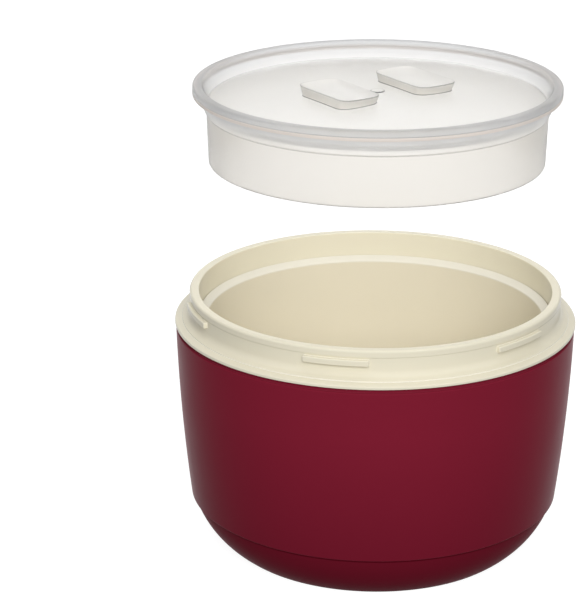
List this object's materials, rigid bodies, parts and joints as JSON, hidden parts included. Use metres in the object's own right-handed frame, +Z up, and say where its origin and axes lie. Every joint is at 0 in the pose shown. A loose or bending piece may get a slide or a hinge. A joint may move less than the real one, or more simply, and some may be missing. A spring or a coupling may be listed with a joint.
{
  "type": "insulated food container",
  "caption": "Round foam-insulated food container: burgundy shell, cream bowl and collar with bayonet lugs, and a frosted clear plug lid with finger grips that lifts straight off.",
  "frame": {"origin": "centre of the base, on the surface that the container stands on", "axes": "+Z up along the container's axis, -Y towards the viewer of the picture"},
  "size_m": [0.2, 0.2, 0.2379],
  "materials": {
    "burgundy": "satin",
    "burgundy_base": "satin",
    "cream_gloss": "gloss",
    "cream_matte": "matte",
    "gasket_rubber": "matte",
    "foam": "matte",
    "frosted_clear": "satin",
    "seal_silicone": "satin"
  },
  "bodies": {
    "container": {"outer_shell": "burgundy", "base_cap": "burgundy_base", "fill_plug": "burgundy_base", "collar": "cream_gloss", "inner_bowl": "cream_matte", "bowl_gasket": "gasket_rubber", "foam_jacket": "foam"},
    "lid": {"clear_lid": "frosted_clear", "lid_seal": "seal_silicone"}
  },
  "joints": [
    {"name": "lid_lift", "type": "slide", "parent": "container", "child": "lid", "axis": [0, 0, 1], "range_m": [-0.1, 0.03]}
  ]
}
